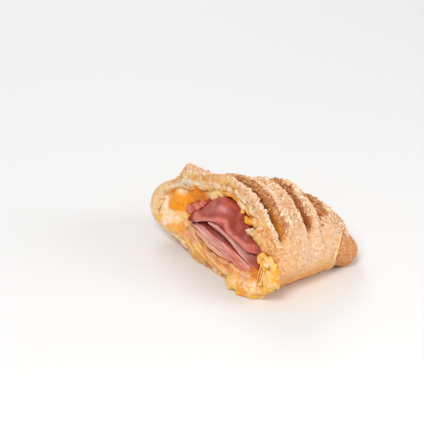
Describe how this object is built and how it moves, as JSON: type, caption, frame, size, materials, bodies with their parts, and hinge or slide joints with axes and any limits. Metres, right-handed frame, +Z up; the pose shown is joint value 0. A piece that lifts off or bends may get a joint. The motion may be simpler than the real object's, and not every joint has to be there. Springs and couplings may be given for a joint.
{
  "type": "half calzone",
  "caption": "Half of a baked ham and cheese calzone lying flat: a slashed, puffed crust with grated crumbs, open at the cut, where folded ham and melted cheese show.",
  "frame": {"origin": "middle of the footprint's bounding box, on the surface that the calzone rests on", "axes": "+Z up; +X from the cut to the closed end; +Y across the loaf, away from the side with the tucked tail"},
  "size_m": [0.0958, 0.129, 0.0713],
  "materials": {
    "crust": "dry baked bread crust, golden brown, darker in the slashes, pale and oily where it is cut",
    "cheese": "melted cheese, orange marbled with pale cream, moist",
    "ham": "cooked sliced ham, moist, darker towards its folds and pink on its cut edges"
  },
  "bodies": {
    "root": {"crust": "crust", "cheese": "cheese", "ham_corner": "ham", "ham_fold": "ham", "ham_under": "ham", "ham_middle": "ham", "ham_low": "ham", "ham_bottom": "ham"}
  },
  "joints": []
}
